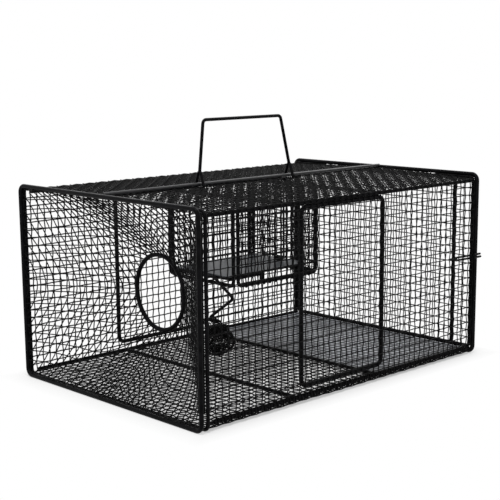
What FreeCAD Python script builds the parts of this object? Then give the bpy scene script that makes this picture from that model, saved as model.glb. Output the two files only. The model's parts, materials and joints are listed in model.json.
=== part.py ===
"""A live-catch rat cage of painted wire mesh on wire hoops.

The entrance is at the -X end, the door at the +X end, +Z is up and the cage
stands on the plane Z = 0 with the origin under its middle. Millimetres.
"""
import FreeCAD, Part
import math
import os

import Sketcher

Vector = FreeCAD.Vector
Rotation = FreeCAD.Rotation
Placement = FreeCAD.Placement

# Driving sizes, each written once
DRIVING = {
    # cage hoops and the mesh that they carry
    "cage_length": 290.0,
    "cage_width": 198.0,
    "cage_height": 142.7,
    "hoop_wire": 3.2,
    "hoop_bend": 5.0,
    "rest_flat": 0.2,
    "frame_wire": 2.6,
    "thin_wire": 2.2,
    "net_thickness": 0.8,
    "net_bar": 1.0,
    "net_cell": 14.0,
    "net_inset": 1.1,
    "seat": 0.1,
    "loose": 0.4,
    "roof_rise": 2.6,
    "front_hoop_gap": 4.4,
    "inner_hoop_slant": 0.69,
    "near_hoop_front": 51.7,
    "far_hoop_front": 62.4,
    "side_hoop_run": 85.0,
    "side_hoop_low": 11.7,
    "side_hoop_bend": 5.0,
    "floor_rod_front": 55.4,
    "floor_rod_back": 29.0,
    "roof_rod_front": 61.1,
    "inner_bend": 4.0,
    # entrance funnel and its ring
    "funnel_depth": 49.0,
    "ring_half_width": 26.0,
    "ring_half_height": 27.1,
    "ring_bend": 24.0,
    "ring_level": 71.1,
    "funnel_corner": 4.0,
    "funnel_top_drop": 3.9,
    # hanging gallery in the middle of the cage
    "gallery_front": 57.9,
    "gallery_back": 26.7,
    "gallery_near": 37.6,
    "gallery_far": 35.2,
    "gallery_level": 74.7,
    "gallery_bend": 3.6,
    "gallery_step": 2.0,
    "gallery_far_step": 0.2,
    # tilting floor of the gallery and its counterweight
    "treadle_rise": 4.7,
    "treadle_pivot": 30.4,
    "treadle_bend": 2.6,
    "treadle_inset": 1.5,
    "treadle_sheet": 0.8,
    "treadle_overhang": 1.0,
    "pin_play": 0.1,
    "lug_width": 4.2,
    "lug_thickness": 1.0,
    "arm_start": 13.0,
    "arm_knee": 17.0,
    "arm_elbow": 37.5,
    "arm_elbow_drop": 13.0,
    "arm_wrist": 9.0,
    "arm_wrist_drop": 32.5,
    "arm_bend": 1.8,
    "weight_radius": 10.5,
    "weight_height": 23.2,
    "weight_round": 5.5,
    "weight_offset": 22.7,
    "weight_level": 33.7,
    # bait hook
    "hook_wire": 1.6,
    "hook_y": 12.6,
    "hook_reach": 9.1,
    "hook_tip": 2.0,
    "hook_tip_rise": 5.3,
    "hook_lift": 2.0,
    "hook_bend": 2.2,
    # solid sheet on the back part of the floor
    "floor_sheet": 0.8,
    # door in the back hoop
    "door_wire": 2.8,
    "door_gap": 0.5,
    "door_bend": 3.6,
    "door_bar_inset": 17.5,
    "ring_wire": 1.2,
    "ring_slack": 1.2,
    "hinge_low": 30.0,
    "hinge_step": 42.0,
    # door latch
    "latch_wire": 1.7,
    "latch_level": 73.7,
    "latch_tip": 8.0,
    "latch_bend": 1.3,
    "latch_fork": 2.2,
    # carrying handle
    "handle_wire": 2.4,
    "handle_foot": 46.1,
    "handle_centre": 11.8,
    "handle_top": 39.3,
    "handle_lean": 2.8,
    "handle_level": 191.5,
    "handle_bend": 3.2,
    "eye_wire": 2.2,
    "eye_height": 15.4,
    "eye_half_width": 4.8,
    "eye_bend": 1.6,
    "eye_slot_side": 0.8,
    "eye_slot_reach": 8.5,
}

# Places given as a share of a length
SHARES = {
    "hook_share": 0.55,
    "latch_share": 0.27,
}

# Sizes worked out from the driving ones, as formulas of the sheet
DERIVED = {
    "hoop_radius": "hoop_wire / 2",
    "frame_radius": "frame_wire / 2",
    "thin_radius": "thin_wire / 2",
    "net_half": "net_thickness / 2",
    "shift_x": "(latch_side + latch_wire / 2 - hoop_radius) / 2",
    "front_x": "-cage_length / 2 - shift_x",
    "back_x": "cage_length / 2 - shift_x",
    "near_y": "-cage_width / 2",
    "far_y": "cage_width / 2",
    "hoop_low": "hoop_radius - rest_flat",
    "hoop_high": "hoop_low + cage_height",
    "front_cut": "front_x - hoop_wire",
    "front_cut_end": "front_x + hoop_wire",
    "back_cut": "back_x - hoop_wire",
    "back_cut_end": "back_x + hoop_wire",
    "side_cut": "far_y + hoop_wire",
    # mesh planes and their ends
    "wall_y": "far_y - net_inset",
    "floor_z": "hoop_low + net_inset + rest_flat",
    "eave_z": "hoop_high - net_inset - roof_rise + frame_radius / 2",
    "ridge_net_z": "eave_z + roof_rise",
    "net_front": "rod_front",
    "net_back": "back_x - hoop_radius - seat",
    "net_run": "net_back - net_front",
    "wall_low": "floor_z - net_half",
    "wall_high": "eave_z - net_half - seat",
    "floor_top": "floor_z + net_half",
    "floor_half": "wall_y - net_half - seat * 2",
    # rods along the cage
    "ridge_z": "ridge_net_z + net_half + frame_radius + seat / 2",
    "rod_y": "wall_y - net_half - frame_radius - seat",
    "rod_low": "floor_top + frame_radius + seat",
    "rod_high": "eave_z - net_half - frame_radius - seat",
    "rod_front": "inner_hoop_x + far_y * sin(inner_hoop_slant) + frame_radius + seat",
    "rod_run": "net_back - rod_front",
    "minus_rod_y": "-rod_y",
    "ridge_front": "front_x + hoop_radius + seat",
    "ridge_run": "net_back - ridge_front",
    # second hoop behind the entrance
    "inner_hoop_x": "front_x + front_hoop_gap",
    "inner_high": "ridge_z - frame_wire - seat",
    # hoops against the long walls, and the rods across the floor and roof
    "near_hoop_x": "-near_hoop_front",
    "near_hoop_back": "side_hoop_run - near_hoop_front",
    "far_hoop_x": "-far_hoop_front",
    "far_hoop_back": "side_hoop_run - far_hoop_front",
    "side_hoop_y": "wall_y - net_half - hoop_radius - seat",
    "minus_side_hoop_y": "-side_hoop_y",
    "side_high": "rod_high - frame_radius - hoop_radius - seat",
    "cross_half": "rod_y - frame_radius - seat",
    "cross_run": "cross_half * 2",
    "minus_cross_half": "-cross_half",
    "floor_rod_front_x": "-floor_rod_front",
    "roof_rod_front_x": "-roof_rod_front",
    "roof_rod_back": "gallery_back + frame_wire + seat",
    # entrance
    "funnel_back": "front_x + funnel_depth - hoop_radius - seat * 3",
    "funnel_half": "far_y - hoop_radius - seat * 3",
    "funnel_low": "hoop_low + hoop_radius + seat * 3",
    "funnel_high": "hoop_high - funnel_top_drop",
    "ring_x": "front_x + funnel_depth",
    "ring_left": "-ring_half_width",
    "ring_top": "ring_level + ring_half_height",
    "ring_bottom": "ring_level - ring_half_height",
    "ring_side": "ring_half_width * tan(22.5)",
    "minus_ring_side": "-ring_side",
    "ring_side_high": "ring_level + ring_half_height * tan(22.5)",
    "ring_side_low": "ring_level - ring_half_height * tan(22.5)",
    # gallery
    "gallery_front_x": "-gallery_front",
    "gallery_near_y": "-gallery_near",
    "gallery_top": "ridge_net_z - roof_rise * gallery_near / wall_y - net_half - seat * 3",
    "gallery_leg_near": "gallery_near_y + frame_wire + seat",
    "gallery_leg_far": "gallery_far - frame_wire - seat",
    "gallery_side_front": "gallery_front_x + gallery_step",
    "gallery_far_side_front": "gallery_front_x + gallery_far_step",
    "gallery_side_back": "gallery_back - gallery_step",
    "gallery_net_low": "gallery_level + frame_radius + seat",
    "gallery_net_front": "gallery_side_front + frame_radius + seat",
    "gallery_far_net_front": "gallery_far_side_front + frame_radius + seat",
    "gallery_net_back": "gallery_side_back - frame_radius - seat",
    "gallery_net_near": "gallery_leg_near + frame_radius + seat",
    "gallery_net_far": "gallery_leg_far - frame_radius - seat",
    # treadle
    "pivot_x": "-treadle_pivot",
    "pivot_z": "gallery_level + treadle_rise",
    "lug_near": "gallery_near_y + frame_radius + seat",
    "lug_far": "gallery_far - frame_radius - seat - lug_thickness",
    "lug_radius": "lug_width / 2",
    "lug_hole": "thin_wire + pin_play * 2",
    "pin_near": "lug_near + seat / 2",
    "pin_far": "lug_far + lug_thickness - seat / 2",
    "treadle_near": "gallery_leg_near + frame_radius + treadle_inset + thin_radius",
    "treadle_far": "gallery_leg_far - frame_radius - treadle_inset - thin_radius",
    "treadle_front": "gallery_front_x - (frame_wire - thin_wire)",
    "plate_z": "pivot_z + thin_radius + seat / 2",
    "plate_front": "treadle_front - thin_radius",
    "plate_back": "gallery_back - frame_radius - thin_wire",
    "plate_near": "treadle_near - treadle_overhang / 2",
    "plate_far": "treadle_far + treadle_overhang / 2",
    "arm_x": "treadle_front - thin_wire - seat / 2",
    "arm_elbow_y": "-arm_elbow",
    "arm_elbow_z": "pivot_z - arm_elbow_drop",
    "arm_knee_y": "-arm_knee",
    "arm_wrist_y": "-arm_wrist",
    "arm_wrist_z": "pivot_z - arm_wrist_drop",
    "weight_y": "-weight_offset",
    "weight_low": "weight_level - weight_height / 2",
    "arm_end_y": "weight_y + weight_radius / 3",
    "arm_end_z": "weight_level + weight_height / 2 + thin_radius + seat",
    # bait hook
    "hook_plane": "-hook_y",
    "hook_x": "net_front + net_bar / 2 + (net_run - net_bar) * hook_share",
    "hook_bar_z": "ridge_net_z - roof_rise * hook_y / wall_y",
    "hook_eye": "net_bar / 2 + loose * 1.5 + hook_wire / 2",
    "hook_top": "hook_bar_z - hook_eye",
    "hook_bottom": "plate_z + treadle_sheet + hook_lift",
    "hook_point_x": "hook_x - hook_reach",
    "hook_end_x": "hook_point_x - hook_tip",
    "hook_end_z": "hook_bottom + hook_tip_rise",
    # sheet on the back part of the floor
    "sheet_front": "floor_rod_back + frame_radius + seat * 4",
    "sheet_back": "net_back - seat * 3",
    "sheet_z": "floor_top + seat",
    "sheet_half": "rod_y - frame_radius - seat * 5",
    # door
    "door_radius": "door_wire / 2",
    "door_y": "far_y - hoop_radius - door_gap - door_radius",
    "minus_door_y": "-door_y",
    "door_low": "hoop_low + hoop_radius + door_gap + door_radius",
    "door_high": "hoop_high - hoop_radius - door_gap - door_radius",
    "door_bar_y": "door_bar_inset - door_y",
    "door_bar_low": "door_low + door_radius + seat",
    "door_bar_run": "door_high - door_low - door_wire - seat * 2",
    "hinge_reach": "hoop_radius + ring_wire / 2 + seat / 2",
    "hinge_bend": "hinge_reach - seat / 2",
    "hinge_front": "back_x - hinge_reach",
    "hinge_back": "back_x + hinge_reach",
    "hinge_near": "door_y - hinge_reach",
    "hinge_far": "far_y + hinge_reach + ring_slack",
    # latch
    "latch_eye": "door_radius + loose + latch_wire / 2",
    "latch_side": "hoop_radius + loose + latch_wire / 2 + seat * 2",
    "latch_far": "-(hinge_far + ring_wire / 2 - latch_wire / 2 + door_bar_y) / cos(atan(latch_share))",
    "latch_end": "latch_side - latch_tip",
    # handle
    "handle_front": "-handle_centre - handle_foot",
    "handle_back": "handle_foot - handle_centre",
    "handle_top_front": "-handle_centre - handle_lean - handle_top",
    "handle_top_back": "handle_top - handle_centre - handle_lean",
    "eye_low": "ridge_z - frame_radius - eye_wire / 2 - loose",
    "eye_high": "eye_low + eye_height",
    "minus_eye_half": "-eye_half_width",
    "handle_low": "eye_high - eye_bend * (1 / sin(atan(eye_half_width / eye_height)) - 1)",
}

# Axes of a sketch on each origin plane: its plane, and the sign of an offset along the plane's normal
PLANES = {"XY": ("XY_Plane", ""), "XZ": ("XZ_Plane", "-"), "YZ": ("YZ_Plane", "")}
ZERO = "nothing"

doc = FreeCAD.newDocument("rat_cage")
sheet = doc.addObject("Spreadsheet::Sheet", "Sizes")
pieces = []


def fill_sheet():
    """Writes the driving sizes as numbers and the derived ones as formulas, each under its alias."""
    rows = [(ZERO, "0")]
    rows += [(name, str(value)) for name, value in DRIVING.items()]
    rows += [(name, str(value)) for name, value in SHARES.items()]
    rows += [(name, "=" + formula) for name, formula in ordered_formulas()]
    for row, (name, text) in enumerate(rows, start=1):
        sheet.set("A%d" % row, name)
        sheet.set("B%d" % row, text)
        sheet.setAlias("B%d" % row, name)
    doc.recompute()


def ordered_formulas():
    """Returns the formulas in an order where each one follows what it reads."""
    waiting = dict(DERIVED)
    done = []
    while waiting:
        for name, formula in list(waiting.items()):
            words = "".join(c if c.isalnum() or c == "_" else " " for c in formula).split()
            if not any(word in waiting for word in words):
                done.append((name, formula))
                del waiting[name]
    return done


def size(name):
    """Returns the number under an alias, or its negative for an alias with a minus sign."""
    if name.startswith("-"):
        return -size(name[1:])
    return float(sheet.get(name))


def bound(name):
    """Returns the expression that reads an alias of the sheet."""
    if name.startswith("-"):
        return "-Sizes." + name[1:]
    return "Sizes." + name


def origin_plane(body, plane):
    """Returns one of a body's own origin planes."""
    role = PLANES[plane][0]
    return [feature for feature in body.Origin.OriginFeatures if feature.Role == role][0]


def add_sketch(body, label, plane, offset):
    """Adds a sketch on one of the body's origin planes, moved along its normal to a named place."""
    sketch = body.newObject("Sketcher::SketchObject", label)
    sketch.AttachmentSupport = (origin_plane(body, plane), "")
    sketch.MapMode = "FlatFace"
    if offset != ZERO:
        sign = PLANES[plane][1]
        sketch.setExpression("AttachmentOffset.Base.z", sign + "(" + bound(offset) + ")")
    return sketch


def pin_point(sketch, geometry, position, corner):
    """Binds a point of the sketch to a pair of aliases."""
    for kind, alias in zip(("DistanceX", "DistanceY"), corner):
        constraint = Sketcher.Constraint(kind, -1, 1, geometry, position, size(alias))
        index = sketch.addConstraint(constraint)
        sketch.setExpression("Constraints[%d]" % index, bound(alias))


def corner_arc(before, corner, after, radius):
    """Returns the arc that rounds a corner, with its first and last points."""
    back = (before - corner).normalize()
    ahead = (after - corner).normalize()
    half_turn = back.getAngle(ahead) / 2
    middle = (back + ahead).normalize()
    centre = corner + middle * (radius / math.sin(half_turn))
    first = corner + back * (radius / math.tan(half_turn))
    last = corner + ahead * (radius / math.tan(half_turn))
    return Part.Arc(first, centre - middle * radius, last), first, last


def path_sketch(body, label, plane, offset, corners, bend, closed):
    """Adds a fully bound path of straight legs and equal bends through named corners."""
    path = add_sketch(body, label + "_path", plane, offset)
    points = [Vector(size(u), size(v), 0) for u, v in corners]
    count = len(points)
    legs = count if closed else count - 1
    turns = [(i, (i + 1) % count, (i + 2) % count) for i in range(count if closed else count - 2)]
    starts = list(points)
    ends = [points[(i + 1) % count] for i in range(count)]
    arcs = []
    for before, corner, after in turns:
        arc, first, last = corner_arc(points[before], points[corner], points[after], size(bend))
        arcs.append((arc, first))
        ends[before] = first
        starts[corner] = last
    guides = []
    for leg in range(legs):
        guides.append(path.addGeometry(Part.LineSegment(points[leg], points[(leg + 1) % count]), True))
    lines = [path.addGeometry(Part.LineSegment(starts[leg], ends[leg]), False) for leg in range(legs)]
    rules = []
    for leg in range(legs if closed else legs - 1):
        rules.append(Sketcher.Constraint("Coincident", guides[leg], 2, guides[(leg + 1) % legs], 1))
    for leg in range(legs):
        first_free = closed or leg > 0
        last_free = closed or leg < legs - 1
        rules.append(end_rule(lines[leg], 1, guides[leg], first_free))
        rules.append(end_rule(lines[leg], 2, guides[leg], last_free))
    path.addConstraint(rules)
    for (before, corner, _), (arc, first) in zip(turns, arcs):
        bend_arc(path, lines[before], lines[corner], arc, first, bend)
    for index, corner in enumerate(corners):
        if index < legs:
            pin_point(path, guides[index], 1, corner)
        else:
            pin_point(path, guides[index - 1], 2, corner)
    return path


def end_rule(line, position, guide, free):
    """Returns the rule that keeps a leg's end on its guide, or at the guide's own end."""
    if free:
        return Sketcher.Constraint("PointOnObject", line, position, guide)
    return Sketcher.Constraint("Coincident", line, position, guide, position)


def bend_arc(path, line_before, line_after, arc, first, bend):
    """Adds one bend, tangent to the legs on its two sides."""
    index = path.addGeometry(arc, False)
    starts_first = path.getPoint(index, 1).distanceToPoint(first) < size("seat")
    near, far = (1, 2) if starts_first else (2, 1)
    path.addConstraint(Sketcher.Constraint("Tangent", line_before, 2, index, near))
    path.addConstraint(Sketcher.Constraint("Tangent", index, far, line_after, 1))
    rule = path.addConstraint(Sketcher.Constraint("Radius", index, size(bend)))
    path.setExpression("Constraints[%d]" % rule, bound(bend))


def bent_wire(label, plane, offset, corners, bend, diameter, closed=False):
    """Makes a wire of round section along a path of straight legs and bends."""
    body = doc.addObject("PartDesign::Body", label)
    path = path_sketch(body, label, plane, offset, corners, bend, closed)
    doc.recompute()
    section = body.newObject("Sketcher::SketchObject", label + "_section")
    section.AttachmentSupport = [(path, "Edge1")]
    section.MapMode = "NormalToEdge"
    add_circle(section, (ZERO, ZERO), diameter)
    pipe = body.newObject("PartDesign::AdditivePipe", label + "_pipe")
    pipe.Profile = section
    pipe.Spine = path
    doc.recompute()
    length = path.Shape.Length
    area = math.pi * size(diameter) ** 2 / 4
    if abs(body.Shape.Volume / (length * area) - 1) > 0.01:
        raise RuntimeError(label + " has not the volume of its wire")
    return body


def add_circle(sketch, centre, diameter):
    """Draws a bound circle."""
    middle = Vector(size(centre[0]), size(centre[1]), 0)
    index = sketch.addGeometry(Part.Circle(middle, Vector(0, 0, 1), size(diameter) / 2), False)
    pin_point(sketch, index, 3, centre)
    rule = sketch.addConstraint(Sketcher.Constraint("Diameter", index, size(diameter)))
    sketch.setExpression("Constraints[%d]" % rule, bound(diameter))


def add_outline(sketch, corners):
    """Draws a bound closed outline of straight lines."""
    points = [Vector(size(u), size(v), 0) for u, v in corners]
    count = len(points)
    lines = [Part.LineSegment(points[i], points[(i + 1) % count]) for i in range(count)]
    indexes = [sketch.addGeometry(line, False) for line in lines]
    for i in range(count):
        sketch.addConstraint(Sketcher.Constraint("Coincident", indexes[i], 2, indexes[(i + 1) % count], 1))
    for index, corner in zip(indexes, corners):
        pin_point(sketch, index, 1, corner)


def padded(label, plane, offset, corners, thickness):
    """Makes a flat sheet by padding a bound outline."""
    body = doc.addObject("PartDesign::Body", label)
    sketch = add_sketch(body, label + "_outline", plane, offset)
    add_outline(sketch, corners)
    pad = body.newObject("PartDesign::Pad", label + "_pad")
    pad.Profile = sketch
    pad.setExpression("Length", bound(thickness))
    doc.recompute()
    return body


def rod(label, start, along, length, diameter):
    """Makes a straight rod from a named place along one axis."""
    cylinder = doc.addObject("Part::Cylinder", label)
    turns = {
        "X": Rotation(Vector(0, 1, 0), 90),
        "Y": Rotation(Vector(1, 0, 0), -90),
        "Z": Rotation(),
    }
    cylinder.Placement = Placement(Vector(), turns[along])
    for axis, alias in zip("xyz", start):
        cylinder.setExpression("Placement.Base." + axis, bound(alias))
    cylinder.setExpression("Radius", bound(diameter) + " / 2")
    cylinder.setExpression("Height", bound(length))
    return cylinder


def keep(piece, label):
    """Lists a finished sub-part under the name of its file."""
    piece.Label = label
    pieces.append(piece)
    return piece


def feature(label, shape):
    """Makes a sub-part from a finished shape."""
    piece = doc.addObject("Part::Feature", label)
    piece.Shape = shape
    piece.Placement = Placement()
    return keep(piece, label)


def polygon_wire(points):
    """Returns a closed wire through points."""
    return Part.makePolygon(list(points) + [points[0]])


def clip(points, line):
    """Returns the part of an outline where line, a function of a point, is not negative."""
    kept = []
    for start, end in zip(points, points[1:] + points[:1]):
        here = line(start)
        there = line(end)
        if here >= 0:
            kept.append(start)
        if here * there < 0:
            share = here / (here - there)
            kept.append((start[0] + (end[0] - start[0]) * share, start[1] + (end[1] - start[1]) * share))
    return kept


def outline_area(points):
    """Returns the area inside a flat outline."""
    doubled = 0
    for start, end in zip(points, points[1:] + points[:1]):
        doubled += start[0] * end[1] - end[0] * start[1]
    return abs(doubled) / 2


def net_face(corner, along, up, long_edges, height):
    """Returns one flat face with square gaps, trimmed where its sides slope.

    long_edges gives the lengths of the lower and the upper edge, which share their middle.
    """
    low_run, high_run = long_edges
    bar = size("net_bar")
    widest = max(low_run, high_run)
    columns = max(1, round((widest - bar) / size("net_cell")))
    rows = max(1, round((height - bar) / size("net_cell")))
    step_along = (widest - bar) / columns
    step_up = (height - bar) / rows
    middle = widest / 2

    def place(point):
        """Returns a point of the flat drawing in its place in the cage."""
        return corner + along * (point[0] + middle) + up * point[1]

    def reach(v):
        """Returns half the face's length at height v."""
        return (low_run + (high_run - low_run) * v / height) / 2

    outline = [(-reach(0), 0), (reach(0), 0), (reach(height), height), (-reach(height), height)]
    wires = [polygon_wire([place(point) for point in outline])]
    for row in range(rows):
        low = bar + row * step_up
        high = low + step_up - bar
        for column in range(columns):
            left = bar + column * step_along - middle
            right = left + step_along - bar
            gap = [(left, low), (left, high), (right, high), (right, low)]
            gap = clip(gap, lambda point: reach(point[1]) - bar - point[0])
            gap = clip(gap, lambda point: reach(point[1]) - bar + point[0])
            if len(gap) > 2 and outline_area(gap) > bar * bar:
                wires.append(polygon_wire([place(point) for point in gap]))
    return Part.Face(wires)


def net_panel(corner, along, up, run, height, cuts=()):
    """Returns a flat net of the sheet's thickness, centred on its plane, less the boxes in cuts."""
    normal = along.cross(up)
    face = net_face(corner, along, up, (run, run), height)
    face.translate(normal * -size("net_half"))
    solid = face.extrude(normal * size("net_thickness"))
    for box in cuts:
        solid = solid.cut(box)
    return solid


def box_between(low, high):
    """Returns a box from its lowest and highest corners."""
    spread = high - low
    return Part.makeBox(spread.x, spread.y, spread.z, low)


def hinge_cuts():
    """Returns the boxes that keep the nets clear of the door's hinge rings."""
    reach = size("hinge_reach") + size("ring_wire") / 2 + size("loose")
    half = size("ring_wire") / 2 + size("loose")
    boxes = []
    for level in hinge_levels():
        low = Vector(size("back_x") - reach, size("door_y") - reach, level - half)
        high = Vector(size("back_x") + reach, size("far_y") + reach, level + half)
        boxes.append(box_between(low, high))
    return boxes


def hinge_levels():
    """Returns the heights of the hinge rings."""
    return [size("hinge_low") + index * size("hinge_step") for index in range(3)]


def make_hoops():
    """Makes the three hoops across the cage; the outer two stand on flats, the inner one a little askew."""
    loop = [("far_y", "hoop_low"), ("far_y", "hoop_high"), ("near_y", "hoop_high"), ("near_y", "hoop_low")]
    for label, place, before, after in (
        ("front_hoop", "front_x", "front_cut", "front_cut_end"),
        ("rear_hoop", "back_x", "back_cut", "back_cut_end"),
    ):
        hoop = bent_wire(label, "YZ", place, loop, "hoop_bend", "hoop_wire", closed=True)
        full = hoop.Shape.Volume
        under = add_sketch(hoop, label + "_ground", "XY", ZERO)
        add_outline(under, [(before, "-side_cut"), (after, "-side_cut"), (after, "side_cut"), (before, "side_cut")])
        pocket = hoop.newObject("PartDesign::Pocket", label + "_flat")
        pocket.Profile = under
        pocket.Type = "ThroughAll"
        doc.recompute()
        if hoop.Shape.Volume >= full:
            raise RuntimeError(label + " was not flattened")
        keep(hoop, label)
    inner = [("far_y", "hoop_low"), ("far_y", "inner_high"), ("near_y", "inner_high"), ("near_y", "hoop_low")]
    hoop = bent_wire("inner_hoop", "YZ", ZERO, inner, "inner_bend", "frame_wire", closed=True)
    hoop.setExpression("Placement.Base.x", bound("inner_hoop_x"))
    hoop.setExpression("Placement.Rotation.Angle", bound("inner_hoop_slant"))
    keep(hoop, "inner_hoop")


def make_rods():
    """Makes the straight rods along and across the cage."""
    for label, y_name, z_name in (
        ("near_bottom_rod", "minus_rod_y", "rod_low"),
        ("far_bottom_rod", "rod_y", "rod_low"),
        ("near_top_rod", "minus_rod_y", "rod_high"),
        ("far_top_rod", "rod_y", "rod_high"),
    ):
        keep(rod(label, ("rod_front", y_name, z_name), "X", "rod_run", "frame_wire"), label)
    keep(rod("ridge_rod", ("ridge_front", ZERO, "ridge_z"), "X", "ridge_run", "frame_wire"), "ridge_rod")
    for label, x_name, z_name in (
        ("front_floor_rod", "floor_rod_front_x", "rod_low"),
        ("rear_floor_rod", "floor_rod_back", "rod_low"),
        ("front_roof_rod", "roof_rod_front_x", "rod_high"),
        ("rear_roof_rod", "roof_rod_back", "rod_high"),
    ):
        keep(rod(label, (x_name, "minus_cross_half", z_name), "Y", "cross_run", "frame_wire"), label)


def make_side_hoops():
    """Makes the two rounded hoops that stiffen the long walls."""
    for label, place, first, last in (
        ("near_side_hoop", "minus_side_hoop_y", "near_hoop_x", "near_hoop_back"),
        ("far_side_hoop", "side_hoop_y", "far_hoop_x", "far_hoop_back"),
    ):
        loop = [(first, "side_hoop_low"), (last, "side_hoop_low"), (last, "side_high"), (first, "side_high")]
        keep(bent_wire(label, "XZ", place, loop, "side_hoop_bend", "hoop_wire", closed=True), label)


def make_nets():
    """Makes the floor, the two long walls and the two halves of the roof."""
    front = size("net_front")
    run = size("net_run")
    along = Vector(1, 0, 0)
    upright = Vector(0, 0, 1)
    tall = size("wall_high") - size("wall_low")
    half = size("floor_half")
    feature("floor_net", net_panel(Vector(front, -half, size("floor_z")), along, Vector(0, 1, 0), run, 2 * half))
    near = Vector(front, -size("wall_y"), size("wall_low"))
    feature("near_wall_net", net_panel(near, along, upright, run, tall))
    far = Vector(front, size("wall_y"), size("wall_low"))
    feature("far_wall_net", net_panel(far, along, upright, run, tall, hinge_cuts()))
    for label, side in (("near_roof_net", -1), ("far_roof_net", 1)):
        ridge = Vector(front, side * size("seat") * 2, size("ridge_net_z"))
        slope = Vector(0, side * size("wall_y"), -size("roof_rise"))
        width = slope.Length - size("seat") * 2
        feature(label, net_panel(ridge, along, slope.normalize(), run, width, eye_cuts()))


def eye_cuts():
    """Returns the slots in the roof where the handle's two eyes pass and swing."""
    side = size("eye_wire") / 2 + size("eye_slot_side")
    reach = size("eye_slot_reach")
    boxes = []
    for name in ("handle_front", "handle_back"):
        low = Vector(size(name) - side, -reach, size("eave_z"))
        high = Vector(size(name) + side, reach, size("ridge_z"))
        boxes.append(box_between(low, high))
    return boxes


def funnel_outline(x_name, half_width, half_height, cut_width, cut_height, level):
    """Returns the eight corners of one end of the funnel, from the far side upwards."""
    x = size(x_name)
    quarter = [(half_width, half_height - cut_height), (half_width - cut_width, half_height)]
    corners = [(y, z) for y, z in quarter]
    corners += [(-y, z) for y, z in reversed(quarter)]
    corners += [(-y, -z) for y, z in quarter]
    corners += [(y, -z) for y, z in reversed(quarter)]
    return [Vector(x, y, level + z) for y, z in corners]


def make_funnel():
    """Makes the funnel of eight flat nets between the front hoop and the entrance ring, and the ring."""
    low = size("funnel_low")
    high = size("funnel_high")
    ring_y = size("ring_half_width")
    ring_z = size("ring_half_height")
    octagon_share = 1 - math.tan(math.radians(22.5))
    corner = size("funnel_corner")
    mouth = funnel_outline(
        "front_x", size("funnel_half"), (high - low) / 2, corner * ring_y / ring_z, corner, (high + low) / 2
    )
    throat = funnel_outline(
        "funnel_back", ring_y, ring_z, ring_y * octagon_share, ring_z * octagon_share, size("ring_level")
    )
    middle = Vector(size("front_x"), 0, size("ring_level"))
    gores = []
    for index in range(8):
        after = (index + 1) % 8
        gores.append(gore((mouth[index], mouth[after]), (throat[index], throat[after]), middle))
    feature("entrance_funnel", Part.makeCompound(gores))
    ring = [
        ("ring_half_width", "ring_side_low"),
        ("ring_half_width", "ring_side_high"),
        ("ring_side", "ring_top"),
        ("minus_ring_side", "ring_top"),
        ("ring_left", "ring_side_high"),
        ("ring_left", "ring_side_low"),
        ("minus_ring_side", "ring_bottom"),
        ("ring_side", "ring_bottom"),
    ]
    keep(bent_wire("entrance_ring", "YZ", "ring_x", ring, "ring_bend", "hoop_wire", closed=True), "entrance_ring")


def gore(mouth_edge, throat_edge, middle):
    """Returns one flat net of the funnel, drawn in a little from its neighbours."""
    along = (mouth_edge[1] - mouth_edge[0]).normalize()
    across = (throat_edge[0] + throat_edge[1] - mouth_edge[0] - mouth_edge[1]) * 0.5
    up = (across - along * across.dot(along)).normalize()
    height = across.dot(up)
    centre = (mouth_edge[0] + mouth_edge[1]) * 0.5
    normal = along.cross(up)
    if normal.dot(middle - centre) < 0:
        normal = normal * -1
    margin = size("net_thickness")
    mouth_run = (mouth_edge[1] - mouth_edge[0]).Length - margin
    throat_run = (throat_edge[1] - throat_edge[0]).Length - margin
    corner = centre - along * (max(mouth_run, throat_run) / 2)
    face = net_face(corner, along, up, (mouth_run, throat_run), height)
    return face.extrude(normal * size("net_thickness"))


def make_gallery():
    """Makes the four U-shaped wires of the hanging gallery and the nets between their legs."""
    across = [
        ("gallery_leg_near", "gallery_top"),
        ("gallery_leg_near", "gallery_level"),
        ("gallery_leg_far", "gallery_level"),
        ("gallery_leg_far", "gallery_top"),
    ]
    near_along, far_along = (
        [
            (front_name, "gallery_top"),
            (front_name, "gallery_level"),
            ("gallery_side_back", "gallery_level"),
            ("gallery_side_back", "gallery_top"),
        ]
        for front_name in ("gallery_side_front", "gallery_far_side_front")
    )
    for label, plane, place, corners in (
        ("gallery_front_frame", "YZ", "gallery_front_x", across),
        ("gallery_rear_frame", "YZ", "gallery_back", across),
        ("gallery_near_frame", "XZ", "gallery_near_y", near_along),
        ("gallery_far_frame", "XZ", "gallery_far", far_along),
    ):
        keep(bent_wire(label, plane, place, corners, "gallery_bend", "frame_wire"), label)
    low = size("gallery_net_low")
    tall = size("gallery_top") - low
    upright = Vector(0, 0, 1)
    for label, name, front_name in (
        ("gallery_near_net", "gallery_near_y", "gallery_net_front"),
        ("gallery_far_net", "gallery_far", "gallery_far_net_front"),
    ):
        corner = Vector(size(front_name), size(name), low)
        run = size("gallery_net_back") - size(front_name)
        rounds = corner_blocks(front_name, "gallery_net_back", along_x=True)
        feature(label, net_panel(corner, Vector(1, 0, 0), upright, run, tall, rounds))
    near = size("gallery_net_near")
    width = size("gallery_net_far") - near
    corner = Vector(size("gallery_back"), near, low)
    rounds = corner_blocks("gallery_net_near", "gallery_net_far", along_x=False)
    feature("gallery_rear_net", net_panel(corner, Vector(0, 1, 0), upright, width, tall, rounds))


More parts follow.
